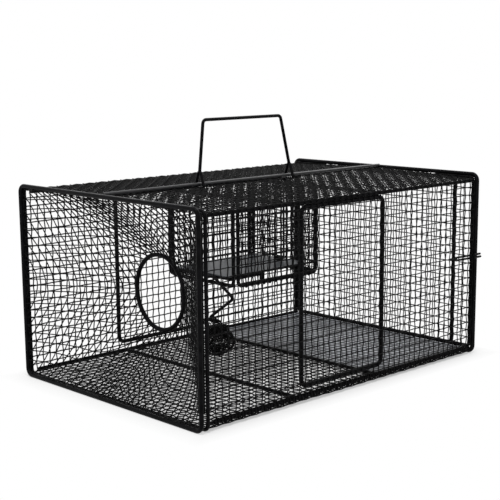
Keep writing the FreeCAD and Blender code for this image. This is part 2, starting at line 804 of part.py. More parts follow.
def corner_blocks(first_name, last_name, along_x):
    """Returns the blocks that the bends of a gallery frame take from its net's lower corners."""
    cut = size("gallery_bend") - size("frame_radius")
    low = size("gallery_net_low")
    deep = size("cage_width")
    blocks = []
    for name, way in ((first_name, 1), (last_name, -1)):
        edge = size(name)
        outside = edge - way * cut
        profile = [(outside, low - cut), (edge + way * cut * 2, low - cut), (outside, low + cut * 2)]
        if along_x:
            points = [Vector(u, -deep, v) for u, v in profile]
            push = Vector(0, 2 * deep, 0)
        else:
            points = [Vector(-deep, u, v) for u, v in profile]
            push = Vector(2 * deep, 0, 0)
        blocks.append(Part.Face(polygon_wire(points)).extrude(push))
    return blocks


def make_treadle():
    """Makes the tilting floor: its wire, sheet, counterweight and the lugs that carry it."""
    loop = [
        ("pivot_x", "pin_near"),
        ("pivot_x", "treadle_near"),
        ("treadle_front", "treadle_near"),
        ("treadle_front", "treadle_far"),
        ("pivot_x", "treadle_far"),
        ("pivot_x", "pin_far"),
    ]
    keep(bent_wire("treadle_frame", "XY", "pivot_z", loop, "treadle_bend", "thin_wire"), "treadle_frame")
    sheet_corners = [
        ("plate_front", "plate_near"),
        ("plate_back", "plate_near"),
        ("plate_back", "plate_far"),
        ("plate_front", "plate_far"),
    ]
    keep(padded("treadle_plate", "XY", "plate_z", sheet_corners, "treadle_sheet"), "treadle_plate")
    arm = [
        ("arm_start", "pivot_z"),
        ("arm_knee_y", "pivot_z"),
        ("arm_elbow_y", "arm_elbow_z"),
        ("arm_wrist_y", "arm_wrist_z"),
        ("arm_end_y", "arm_end_z"),
    ]
    keep(bent_wire("counterweight_arm", "YZ", "arm_x", arm, "arm_bend", "thin_wire"), "counterweight_arm")
    make_weight()
    for label, place in (("near_treadle_lug", "lug_near"), ("far_treadle_lug", "lug_far")):
        make_lug(label, place)


def make_weight():
    """Makes the roll of scrap mesh that is the counterweight, as a solid with rounded ends."""
    drum = doc.addObject("Part::Cylinder", "weight_drum")
    drum.setExpression("Radius", "Sizes.weight_radius")
    drum.setExpression("Height", "Sizes.weight_height")
    for axis, alias in zip("xyz", ("arm_x", "weight_y", "weight_low")):
        drum.setExpression("Placement.Base." + axis, bound(alias))
    doc.recompute()
    rounded = doc.addObject("Part::Fillet", "counterweight")
    rounded.Base = drum
    edges = []
    for index, edge in enumerate(drum.Shape.Edges, start=1):
        if isinstance(edge.Curve, Part.Circle):
            edges.append((index, size("weight_round"), size("weight_round")))
    rounded.Edges = edges
    keep(rounded, "counterweight")


def make_lug(label, place):
    """Makes one upright lug that stands on a side frame and holds a pin of the treadle wire."""
    radius = size("lug_radius")
    thickness = size("lug_thickness")
    foot = Vector(size("pivot_x"), size(place), size("gallery_level"))
    head = Vector(size("pivot_x"), size(place), size("pivot_z"))
    sideways = Vector(0, 1, 0)
    shape = Part.makeCylinder(radius, thickness, head, sideways)
    corner = foot - Vector(radius, 0, 0)
    shape = shape.fuse(Part.makeBox(2 * radius, thickness, head.z - foot.z, corner)).removeSplitter()
    shape = shape.cut(Part.makeCylinder(size("lug_hole") / 2, thickness, head, sideways))
    feature(label, shape)


def make_bait_hook():
    """Makes the wire hook for bait, whose eye hangs round one wire of the roof."""
    corners = [
        ("hook_x", "hook_top"),
        ("hook_x", "hook_bottom"),
        ("hook_point_x", "hook_bottom"),
        ("hook_end_x", "hook_end_z"),
    ]
    shank = bent_wire("hook_shank", "XZ", "hook_plane", corners, "hook_bend", "hook_wire")
    eye = doc.addObject("Part::Torus", "hook_eye")
    eye.Placement = Placement(Vector(), Rotation(Vector(1, 0, 0), 90))
    for axis, alias in zip("xyz", ("hook_x", "hook_plane", "hook_bar_z")):
        eye.setExpression("Placement.Base." + axis, bound(alias))
    eye.setExpression("Radius1", bound("hook_eye"))
    eye.setExpression("Radius2", bound("hook_wire") + " / 2")
    hook = doc.addObject("Part::MultiFuse", "bait_hook")
    hook.Shapes = [shank, eye]
    keep(hook, "bait_hook")


def make_floor_plate():
    """Makes the solid sheet on the back part of the floor."""
    corners = [
        ("sheet_front", "-sheet_half"),
        ("sheet_back", "-sheet_half"),
        ("sheet_back", "sheet_half"),
        ("sheet_front", "sheet_half"),
    ]
    keep(padded("rear_floor_plate", "XY", "sheet_z", corners, "floor_sheet"), "rear_floor_plate")


def make_door():
    """Makes the door in the back hoop: frame, upright bar, net, and its hinge rings."""
    loop = [("door_y", "door_low"), ("door_y", "door_high"), ("minus_door_y", "door_high"), ("minus_door_y", "door_low")]
    keep(bent_wire("door_frame", "YZ", "back_x", loop, "door_bend", "door_wire", closed=True), "door_frame")
    keep(rod("door_bar", ("back_x", "door_bar_y", "door_bar_low"), "Z", "door_bar_run", "door_wire"), "door_bar")
    seat = size("seat")
    thick = size("door_radius") + seat
    low = size("door_low") + thick
    tall = size("door_high") - size("door_low") - 2 * thick
    bar_y = size("door_bar_y")
    edge = size("door_y") - thick
    across = Vector(0, 1, 0)
    upright = Vector(0, 0, 1)
    x = size("back_x")
    cuts = hinge_cuts() + [latch_cut()] + door_corners(edge, low, tall)
    wide = net_panel(Vector(x, bar_y + thick, low), across, upright, edge - bar_y - thick, tall, cuts)
    narrow = net_panel(Vector(x, -edge, low), across, upright, bar_y - thick + edge, tall, cuts)
    feature("door_net", Part.makeCompound([wide, narrow]))
    ring = [
        ("hinge_front", "hinge_near"),
        ("hinge_back", "hinge_near"),
        ("hinge_back", "hinge_far"),
        ("hinge_front", "hinge_far"),
    ]
    lowest = bent_wire("hinge_ring", "XY", "hinge_low", ring, "hinge_bend", "ring_wire", closed=True)
    rings = [lowest.Shape.translated(Vector(0, 0, level - hinge_levels()[0])) for level in hinge_levels()]
    feature("door_hinge_rings", Part.makeCompound(rings))


def door_corners(edge, low, tall):
    """Returns the blocks that the bends of the door frame take from the corners of its net."""
    cut = size("door_bend") - size("door_radius")
    x = size("back_x") - size("net_thickness")
    blocks = []
    for y_way in (1, -1):
        for corner_z, z_way in ((low, 1), (low + tall, -1)):
            outside = corner_z - z_way * cut
            inside = corner_z + z_way * cut * 2
            profile = [(edge + cut, outside), (edge - cut * 2, outside), (edge + cut, inside)]
            points = [Vector(x, y_way * y, z) for y, z in profile]
            blocks.append(Part.Face(polygon_wire(points)).extrude(Vector(2 * size("net_thickness"), 0, 0)))
    return blocks


def latch_cut():
    """Returns the box that keeps the door's net clear of the latch's eye."""
    reach = size("latch_eye") + size("latch_wire") / 2 + size("loose")
    height = size("latch_wire") + size("latch_fork") + 2 * size("loose")
    low = Vector(size("back_x") - reach, size("door_bar_y") - reach, size("latch_level") - height)
    high = Vector(size("back_x") + reach, size("door_bar_y") + reach, size("latch_level") + height)
    return box_between(low, high)


def make_latch():
    """Makes the latch: an eye round the door's bar and a forked arm that hooks past the post."""
    corners = [("latch_side", ZERO), ("latch_side", "latch_far"), ("latch_end", "latch_far")]
    prong = bent_wire("latch_prong", "XY", ZERO, corners, "latch_bend", "latch_wire")
    slope = math.degrees(math.atan(size("latch_share")))
    base = Vector(size("back_x"), size("door_bar_y"), size("latch_level"))
    turned = Placement(base, Rotation(Vector(1, 0, 0), -slope))
    eye = Part.makeTorus(size("latch_eye"), size("latch_wire") / 2, base)
    shape = eye
    for step in (0, 1):
        arm = prong.Shape.copy()
        arm.translate(Vector(0, 0, step * size("latch_fork") - size("latch_fork") / 2))
        arm.Placement = turned.multiply(arm.Placement)
        shape = shape.fuse(arm)
    feature("latch", shape)


def make_handle():
    """Makes the carrying handle: a wire bail whose two eyes hang round the ridge rod."""
    corners = [
        ("handle_front", "handle_low"),
        ("handle_top_front", "handle_level"),
        ("handle_top_back", "handle_level"),
        ("handle_back", "handle_low"),
    ]
    bail = bent_wire("handle_bail", "XZ", ZERO, corners, "handle_bend", "handle_wire")
    eye = [(ZERO, "eye_high"), ("minus_eye_half", "eye_low"), ("eye_half_width", "eye_low")]
    eyes = []
    for label, place in (("front_eye", "handle_front"), ("rear_eye", "handle_back")):
        eyes.append(bent_wire(label, "YZ", place, eye, "eye_bend", "eye_wire", closed=True))
    handle = doc.addObject("Part::MultiFuse", "handle")
    handle.Shapes = [bail] + eyes
    keep(handle, "handle")


def check_and_export():
    """Stops on any failed object or bad shape, then writes one STEP file for each sub-part."""
    doc.recompute()
    for item in doc.Objects:
        if "Invalid" in item.State or "Error" in item.State:
            raise RuntimeError("failed object: " + item.Label)
    for piece in pieces:
        shape = piece.Shape
        if shape.isNull() or not shape.isValid() or not shape.Solids:
            raise RuntimeError("bad shape: " + piece.Label)
    os.makedirs("parts", exist_ok=True)
    for piece in pieces:
        piece.Shape.exportStep("parts/" + piece.Label + ".step")
    print("sub-parts written:", len(pieces))


fill_sheet()
make_hoops()
make_rods()
make_side_hoops()
make_nets()
make_funnel()
make_gallery()
make_treadle()
make_bait_hook()
make_floor_plate()
make_door()
make_latch()
make_handle()
check_and_export()
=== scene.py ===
"""Looks of the wire mesh rat cage: black paint, woven mesh, funnel, scrap roll and studio.

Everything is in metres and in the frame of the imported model.
"""

import json
import logging
import math
from dataclasses import dataclass
from enum import Enum
from typing import Callable, Sequence

import bpy
from mathutils import Matrix, Vector


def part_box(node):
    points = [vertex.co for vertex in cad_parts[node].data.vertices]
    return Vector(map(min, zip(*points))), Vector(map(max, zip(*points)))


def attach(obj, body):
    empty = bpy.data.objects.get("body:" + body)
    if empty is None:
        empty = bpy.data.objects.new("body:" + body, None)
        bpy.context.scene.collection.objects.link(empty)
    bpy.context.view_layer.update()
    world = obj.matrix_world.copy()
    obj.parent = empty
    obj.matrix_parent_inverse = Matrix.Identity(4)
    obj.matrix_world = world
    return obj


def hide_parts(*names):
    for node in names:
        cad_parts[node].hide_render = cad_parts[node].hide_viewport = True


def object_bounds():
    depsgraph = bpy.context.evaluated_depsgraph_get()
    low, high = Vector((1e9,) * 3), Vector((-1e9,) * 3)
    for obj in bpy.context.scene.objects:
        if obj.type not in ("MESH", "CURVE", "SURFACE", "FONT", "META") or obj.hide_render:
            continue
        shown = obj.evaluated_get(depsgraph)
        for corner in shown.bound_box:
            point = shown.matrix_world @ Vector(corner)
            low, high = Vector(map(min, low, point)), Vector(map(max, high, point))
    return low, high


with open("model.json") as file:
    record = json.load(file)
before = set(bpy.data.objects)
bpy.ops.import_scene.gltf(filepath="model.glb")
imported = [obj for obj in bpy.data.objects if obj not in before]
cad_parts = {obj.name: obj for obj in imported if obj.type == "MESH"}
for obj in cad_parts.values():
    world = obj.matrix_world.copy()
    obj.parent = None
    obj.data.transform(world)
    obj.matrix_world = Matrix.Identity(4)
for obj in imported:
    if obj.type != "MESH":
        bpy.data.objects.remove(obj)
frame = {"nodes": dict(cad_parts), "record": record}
CAD_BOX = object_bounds()
LOG = logging.getLogger("rat_cage")
MM = 0.001
ALONG = Vector((1, 0, 0))
SIDEWAYS = Vector((0, 1, 0))
UP = Vector((0, 0, 1))
# The levels of the three rings that carry the door.
RING_LEVELS = (30 * MM, 72 * MM, 114 * MM)
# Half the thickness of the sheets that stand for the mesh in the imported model.
SHEET_HALF = 0.4 * MM
# The scale at which a wave pattern repeats once a metre.
ONE_WAVE = math.pi / 10
WHITE = (1.0, 1.0, 1.0, 1.0)


class Run(Enum):
    """Which way the wires of one half of a weave run."""

    ALONG = "along"
    ACROSS = "across"


def only(*objects: bpy.types.Object) -> None:
    """Selects these objects alone and makes the first one active."""
    if bpy.context.object and bpy.context.object.mode != "OBJECT":
        bpy.ops.object.mode_set(mode="OBJECT")
    bpy.ops.object.select_all(action="DESELECT")
    for item in objects:
        item.select_set(True)
    bpy.context.view_layer.objects.active = objects[0]


def pick(item: bpy.types.Object, wanted: Callable[[Vector], bool]) -> int:
    """Selects the vertices of a mesh that pass a test, and leaves the mesh in edit mode.

    Args:
        item: The mesh object.
        wanted: The test of a vertex by its place.

    Returns:
        How many vertices are selected.
    """
    only(item)
    bpy.ops.object.mode_set(mode="EDIT")
    bpy.ops.mesh.select_mode(type="VERT")
    bpy.ops.mesh.select_all(action="DESELECT")
    bpy.ops.object.mode_set(mode="OBJECT")
    count = 0
    for vertex in item.data.vertices:
        vertex.select = bool(wanted(vertex.co))
        count += vertex.select
    bpy.ops.object.mode_set(mode="EDIT")
    return count


def pick_edges(item: bpy.types.Object, wanted: Callable[[Vector, Vector], bool]) -> None:
    """Selects the edges of a mesh that pass a test, and leaves the mesh in edit mode.

    Args:
        item: The mesh object.
        wanted: The test of an edge by its two ends.
    """
    only(item)
    bpy.ops.object.mode_set(mode="EDIT")
    bpy.ops.mesh.select_mode(type="EDGE")
    bpy.ops.mesh.select_all(action="DESELECT")
    bpy.ops.object.mode_set(mode="OBJECT")
    points = item.data.vertices
    for edge in item.data.edges:
        first, last = edge.vertices
        edge.select = bool(wanted(points[first].co, points[last].co))
    bpy.ops.object.mode_set(mode="EDIT")


def settle(item: bpy.types.Object) -> None:
    """Leaves edit mode and puts the object's place into its mesh."""
    only(item)
    bpy.ops.object.transform_apply(location=True, rotation=True, scale=True)


def wires_from_edges(item: bpy.types.Object, radius: float, sides: int = 1) -> bpy.types.Object:
    """Turns chains of edges into round wires.

    Args:
        item: A mesh of edges only.
        radius: The wire's radius in metres.
        sides: The roundness of the section, where 1 gives six sides.

    Returns:
        The same object as a mesh of wires.
    """
    only(item)
    bpy.ops.object.convert(target="CURVE")
    item = bpy.context.object
    item.data.bevel_depth = radius
    item.data.bevel_resolution = sides
    item.data.use_fill_caps = True
    bpy.ops.object.convert(target="MESH")
    item = bpy.context.object
    bpy.ops.object.shade_smooth()
    return item


def join(parts: Sequence[bpy.types.Object]) -> bpy.types.Object:
    """Makes several mesh objects one.

    Args:
        parts: The objects.

    Returns:
        The one object.
    """
    only(*parts)
    bpy.ops.object.join()
    return bpy.context.object


def add_turn(
    place: Vector, reach: float, wire: float, turn: Sequence[float], sides: tuple[int, int]
) -> bpy.types.Object:
    """Adds one closed turn of round wire.

    Args:
        place: Its middle.
        reach: Its radius, to the middle of the wire, in metres.
        wire: The wire's diameter in metres.
        turn: How it is turned about the three axes, in radians.
        sides: How many flats it has round the turn, and round the wire.

    Returns:
        The turn.
    """
    bpy.ops.object.select_all(action="DESELECT")
    bpy.ops.mesh.primitive_torus_add(
        major_segments=sides[0],
        minor_segments=sides[1],
        major_radius=reach,
        minor_radius=wire / 2,
        location=place,
        rotation=turn,
    )
    return bpy.context.object


def add_modifier(item: bpy.types.Object, kind: str, **settings: object) -> None:
    """Adds a modifier with its settings and applies it.

    Args:
        item: The mesh object.
        kind: The modifier's type.
        **settings: The modifier's properties.
    """
    only(item)
    modifier = item.modifiers.new(kind.lower(), kind)
    for key, value in settings.items():
        setattr(modifier, key, value)
    bpy.ops.object.modifier_apply(modifier=modifier.name)


def ripple(item: bpy.types.Object, strength: float, size: float) -> None:
    """Moves a mesh a little by smooth noise, as handling bends thin wire.

    Args:
        item: The mesh object.
        strength: The largest move in metres.
        size: The size of the bumps in metres.
    """
    texture = bpy.data.textures.new(item.name + "_ripple", "CLOUDS")
    texture.noise_scale = size
    texture.noise_depth = 1
    texture.cloud_type = "COLOR"
    add_modifier(
        item, "DISPLACE", texture=texture, texture_coords="LOCAL", direction="RGB_TO_XYZ", strength=strength
    )


def add_node(
    tree: bpy.types.NodeTree, kind: str, values: dict[str | int, object] | None = None, **settings: object
) -> bpy.types.Node:
    """Adds a shader node, sets its properties and fills its inputs.

    Args:
        tree: The node tree.
        kind: The node's type, without its prefix.
        values: What goes into its inputs, each a value or the output that is linked to it.
        **settings: The node's properties.

    Returns:
        The node.
    """
    node = tree.nodes.new("ShaderNode" + kind)
    for key, value in settings.items():
        setattr(node, key, value)
    for key, value in (values or {}).items():
        if isinstance(value, bpy.types.NodeSocket):
            tree.links.new(value, node.inputs[key])
        else:
            node.inputs[key].default_value = value
    return node


def combine(
    tree: bpy.types.NodeTree,
    operation: str,
    first: bpy.types.NodeSocket,
    second: bpy.types.NodeSocket,
    clamp: bool = False,
) -> bpy.types.NodeSocket:
    """Works out one value from two.

    Args:
        tree: The node tree.
        operation: What is done with them.
        first: The first value.
        second: The second value.
        clamp: Whether the result is kept between 0 and 1.

    Returns:
        The result.
    """
    values = {0: first, 1: second}
    return add_node(tree, "Math", values, operation=operation, use_clamp=clamp).outputs["Value"]


def remap(
    tree: bpy.types.NodeTree,
    value: bpy.types.NodeSocket,
    levels: tuple[float, float],
    results: tuple[float, float] = (0.0, 1.0),
) -> bpy.types.NodeSocket:
    """Turns what lies between two levels into what lies between two results.

    Args:
        tree: The node tree.
        value: The value.
        levels: The two levels.
        results: The two results.

    Returns:
        The new value.
    """
    values = {
        "Value": value,
        "From Min": levels[0],
        "From Max": levels[1],
        "To Min": results[0],
        "To Max": results[1],
    }
    return add_node(tree, "MapRange", values).outputs["Result"]


@dataclass(frozen=True)
class Paint:
    """A black paint over metal.

    Attributes:
        name: The material's name.
        dark: The colour of the paint in its hollows.
        light: The colour where it has dried thin.
        gloss: The roughness, from its low to its high value.
        grain: The size of its unevenness in metres.
        relief: The height of its unevenness in metres.
        shine: How strongly it mirrors.
        weave: The pitch of the mesh that has pressed through it in metres, or 0 for none; it also sets the
            pattern of the painted reflection.
        painted_reflection: The colour of light marks on the mesh's pattern, a painted reflection of the
            mesh and the white background in the glossy sheet.
        tones: The levels of the unevenness at which the paint is dark and light.
        sheens: The levels of the unevenness at which the roughness is low and high.
        reflection_levels: The levels of a noise between which a place goes from no painted reflection to
            full.
        dent: How deep the mesh has pressed in metres.
    """

    name: str
    dark: tuple[float, float, float]
    light: tuple[float, float, float]
    gloss: tuple[float, float]
    grain: float
    relief: float
    shine: float = 0.045
    weave: float = 0.0
    painted_reflection: tuple[float, float, float] = (0.60, 0.62, 0.66)
    tones: tuple[float, float] = (0.35, 0.72)
    sheens: tuple[float, float] = (0.3, 0.7)
    reflection_levels: tuple[float, float] = (0.20, 0.56)
    dent: float = 0.25 * MM

    def material(self) -> bpy.types.Material:
        """Builds the node material of the paint."""
        material = bpy.data.materials.new(self.name)
        material.use_nodes = True
        tree = material.node_tree
        place = add_node(tree, "TexCoord").outputs["Object"]
        coarse_look = {"Vector": place, "Scale": 0.25 / self.grain, "Detail": 3.0}
        coarse = add_node(tree, "TexNoise", coarse_look).outputs["Fac"]
        fine_look = {"Vector": place, "Scale": 1.0 / self.grain, "Detail": 2.0}
        fine = add_node(tree, "TexNoise", fine_look).outputs["Fac"]
        tone = add_node(tree, "ValToRGB", {"Fac": coarse})
        for stop, level, colour in zip(tone.color_ramp.elements, self.tones, (self.dark, self.light)):
            stop.position = level
            stop.color = (*colour, 1.0)
        bump = add_node(tree, "Bump", {"Strength": 0.6, "Distance": self.relief, "Height": fine})
        colour = tone.outputs["Color"]
        if self.weave:
            colour, dents = self.press(tree, place, colour)
            tree.links.new(dents, bump.inputs["Normal"])
        shader = tree.nodes["Principled BSDF"]
        shader.inputs["Specular IOR Level"].default_value = self.shine
        shader.inputs["Metallic"].default_value = 0.0
        tree.links.new(colour, shader.inputs["Base Color"])
        tree.links.new(remap(tree, coarse, self.sheens, self.gloss), shader.inputs["Roughness"])
        tree.links.new(bump.outputs["Normal"], shader.inputs["Normal"])
        return material

    def press(
        self, tree: bpy.types.NodeTree, place: bpy.types.NodeSocket, colour: bpy.types.NodeSocket
    ) -> tuple[bpy.types.NodeSocket, bpy.types.NodeSocket]:
        """Adds the dents of a mesh that has pressed through a sheet, and light marks on the same pattern
        that are a painted reflection.

        Args:
            tree: The paint's node tree.
            place: The place on the sheet.
            colour: The paint's own colour.

        Returns:
            The colour with its worn marks, and the normal with its dents.
        """
        look = {"Vector": place, "Scale": ONE_WAVE / self.weave, "Distortion": 0.6, "Detail": 0.0}
        waves = [
            add_node(tree, "TexWave", look, bands_direction=direction).outputs["Fac"]
            for direction in ("X", "Y")
        ]
        marks = combine(tree, "MULTIPLY", *waves)
        reflection_breakup = add_node(tree, "TexNoise", {"Vector": place, "Scale": 0.1 / self.weave}).outputs["Fac"]
        share = combine(tree, "MULTIPLY", marks, remap(tree, reflection_breakup, self.reflection_levels))
        # Light marks on the mesh's pattern, broken up by noise: a painted reflection.
        mix = add_node(tree, "MixRGB", {"Fac": share, "Color1": colour, "Color2": (*self.painted_reflection, 1.0)})
        dents = add_node(tree, "Bump", {"Strength": 0.5, "Distance": self.dent, "Height": marks})
        return mix.outputs["Color"], dents.outputs["Normal"]


ROD_PAINT = Paint(
    name="rod_paint",
    dark=(0.0015, 0.0015, 0.0018),
    light=(0.006, 0.006, 0.007),
    gloss=(0.28, 0.45),
    grain=1.6 * MM,
    relief=0.08 * MM,
)
# A lighter, glossier copy of the rod paint for the ridge rod alone: a painted highlight.
RIDGE_HIGHLIGHT_PAINT = Paint(
    name="ridge_highlight_paint",
    dark=(0.006, 0.006, 0.007),
    light=(0.018, 0.018, 0.020),
    gloss=(0.26, 0.40),
    grain=1.6 * MM,
    relief=0.08 * MM,
    shine=0.4,
)
MESH_PAINT = Paint(
    name="mesh_paint",
    dark=(0.003, 0.003, 0.0034),
    light=(0.009, 0.009, 0.009),
    gloss=(0.34, 0.52),
    grain=0.9 * MM,
    relief=0.05 * MM,
)
SMALL_PAINT = Paint(
    name="small_wire_paint",
    dark=(0.005, 0.005, 0.0055),
    light=(0.012, 0.012, 0.013),
    gloss=(0.28, 0.42),
    grain=1.0 * MM,
    relief=0.05 * MM,
)
SHEET_PAINT = Paint(
    name="sheet_paint",
    dark=(0.034, 0.038, 0.044),
    light=(0.062, 0.068, 0.077),
    gloss=(0.28, 0.40),
    grain=5.0 * MM,
    relief=0.05 * MM,
    shine=0.45,
)
# The rear floor plate: dents of the mesh, and light marks on its pattern that are a painted reflection.
PRESSED_PAINT = Paint(
    name="pressed_sheet_paint",
    dark=(0.003, 0.004, 0.007),
    light=(0.010, 0.012, 0.017),
    gloss=(0.34, 0.46),
    grain=5.0 * MM,
    relief=0.05 * MM,
    shine=0.12,
    weave=6.0 * MM,
)


@dataclass
class Dresser:
    """Holds the finishes and gives them to the pieces."""

    def __post_init__(self) -> None:
        """Builds each finish once."""
        self.by_slot = {
            "frame_wire": ROD_PAINT.material(),
            "mesh_wire": MESH_PAINT.material(),
            "small_wire": SMALL_PAINT.material(),
            "sheet": SHEET_PAINT.material(),
        }
        # The ridge rod's lighter paint is a painted highlight; the rear floor plate carries a painted
        # reflection.
        self.own = {"rear_floor_plate": PRESSED_PAINT.material(), "ridge_rod": RIDGE_HIGHLIGHT_PAINT.material()}

    def paint(self, item: bpy.types.Object, material: bpy.types.Material) -> None:
        """Gives one material to the whole of an object."""
        item.data.materials.clear()
        item.data.materials.append(material)

    def paint_cad(self) -> None:
        """Paints the CAD nodes by their material slots, but for the ridge rod with its painted highlight
        and the rear floor plate with its painted reflection.
        """
        slots = {part["node"]: part["material_slot"] for part in frame["record"]["subparts"]}
        for name, item in frame["nodes"].items():
            self.paint(item, self.own.get(name, self.by_slot[slots[name]]))
        LOG.info("painted %d nodes", len(slots))

    def finish(
        self,
        item: bpy.types.Object,
        name: str,
        nodes: Sequence[str] = (),
        body: str = "cage",
        slot: str = "mesh_wire",
    ) -> None:
        """Names, paints and hands over a new piece.

        Args:
            item: The finished object.
            name: Its name.
            nodes: The CAD nodes that it stands for.
            body: The body that it rides on.
            slot: The record's material slot, which gives its finish too.
        """
        settle(item)
        item.name = name
        item.data.name = name
        self.paint(item, self.by_slot[slot])
        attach(item, body)
        if nodes:
            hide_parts(*nodes)
        item.data.calc_loop_triangles()
        LOG.info("%s: %d triangles", name, len(item.data.loop_triangles))

    def finish_net(self, item: bpy.types.Object, node: str, body: str = "cage") -> None:
        """Hands over the woven mesh of one CAD panel, named after it."""
        self.finish(item, node.replace("_net", "_mesh"), [node], body)


@dataclass
class WovenNet:
    """A flat or shaped panel of woven wire mesh.

    Attributes:
        corner: The panel's first corner.
        along: The unit direction of its length.
        across: The unit direction of its width.
        length: Its length in metres.
        width: Its width in metres.
        pitch: The size of its cells in metres.
        wire: The wire's diameter in metres.
        fineness: How many straight pieces each cell's wire has.
        wander: How far handling has moved its wires in metres.
        sway: The size of the bends that this has left in metres.
    """

    corner: Vector
    along: Vector
    across: Vector
    length: float
    width: float
    pitch: float = 6.0 * MM
    wire: float = 0.84 * MM
    fineness: int = 2
    wander: float = 0.45 * MM
    sway: float = 22 * MM

    def __post_init__(self) -> None:
        """Works out how many cells fit."""
        self.columns = max(1, round(self.length / self.pitch))
        self.rows = max(1, round(self.width / self.pitch))
        self.cell = (self.length / self.columns, self.width / self.rows)

    def half(self, run: Run) -> bpy.types.Object:
        """Builds the edges of the wires that run one way, in the panel's own flat frame.

        Args:
            run: Which half of the weave.

        Returns:
            A mesh of edges with its lower corner at the origin.
        """
        fine = self.fineness
        cells_x = self.columns * (fine if run is Run.ALONG else 1)
        cells_y = self.rows * (fine if run is Run.ACROSS else 1)
        bpy.ops.object.select_all(action="DESELECT")
        bpy.ops.mesh.primitive_grid_add(x_subdivisions=cells_x, y_subdivisions=cells_y, size=1)
        item = bpy.context.object
        item.scale = (self.length, self.width, 1)
        item.location = (self.length / 2, self.width / 2, 0)
        settle(item)
        step_x = self.length / cells_x
        step_y = self.width / cells_y
        if run is Run.ALONG:
            pick_edges(item, lambda a, b: abs(a.y - b.y) > step_y / 2)
        else:
            pick_edges(item, lambda a, b: abs(a.x - b.x) > step_x / 2)
        bpy.ops.mesh.delete(type="EDGE_FACE")
        self.crimp(item, run)
        return item

    def crimp(self, item: bpy.types.Object, run: Run) -> None:
        """Lifts and lowers the wires where they cross, as a weave does.

        Args:
            item: The mesh of edges.
            run: Which half of the weave it is.
        """
        height = self.wire / 2
        near = 0.1  # In cells, from a crossing.

        def side(place: Vector) -> int:
            """Returns 1 where this wire passes over, -1 under and 0 between crossings."""
            column = place.x / self.cell[0]
            row = place.y / self.cell[1]
            if abs(column - round(column)) > near or abs(row - round(row)) > near:
                return 0
            over = 1 if (round(column) + round(row)) % 2 == 0 else -1
            return over if run is Run.ALONG else -over

        for way in (1, -1):
            pick(item, lambda place: side(place) == way)
            bpy.ops.transform.translate(value=(0, 0, way * height))
        bpy.ops.object.mode_set(mode="OBJECT")

    def place(self, item: bpy.types.Object) -> None:
        """Turns a flat mesh into the panel's place.

        Args:
            item: The mesh in the panel's own frame.
        """
        normal = self.along.cross(self.across)
        turn = Matrix((self.along, self.across, normal)).transposed().to_4x4()
        item.matrix_world = Matrix.Translation(self.corner) @ turn
        settle(item)

    def build(
        self,
        gaps: Callable[[Vector], bool] | None = None,
        shape: Callable[[Vector], Vector] | None = None,
    ) -> bpy.types.Object:
        """Builds the whole panel in its place.

        Args:
            gaps: A test of places where there is no wire.
            shape: A function that bends the placed panel.

        Returns:
            The panel as one mesh of wires.
        """
        halves = []
        for run in Run:
            item = self.half(run)
            self.place(item)
            if gaps is not None:
                if pick(item, gaps):
                    bpy.ops.mesh.delete(type="VERT")
                bpy.ops.object.mode_set(mode="OBJECT")
            if shape is not None:
                for vertex in item.data.vertices:
                    vertex.co = shape(vertex.co)
            halves.append(wires_from_edges(item, self.wire / 2))
        item = join(halves)
        ripple(item, self.wander, self.sway)
        return item


def inside(boxes: Sequence[tuple[Vector, Vector]]) -> Callable[[Vector], bool]:
    """Makes a test of places from boxes.

    Args:
        boxes: The lowest and highest corner of each box.

    Returns:
        A test of whether a place is in any of the boxes.
    """

    def test(place: Vector) -> bool:
        """Returns whether the place is in a box."""
        return any(all(low[i] < place[i] < high[i] for i in range(3)) for low, high in boxes)

    return test


def ring_notches() -> list[tuple[Vector, Vector]]:
    """Returns the boxes where the door's rings pass through the mesh."""
    low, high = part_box("door_hinge_rings")
    spare = 1.0 * MM
    boxes = []
    for level in RING_LEVELS:
        bottom = Vector((low.x - spare, low.y - spare, level - spare))
        top = Vector((high.x + spare, high.y + spare, level + spare))
        boxes.append((bottom, top))
    return boxes


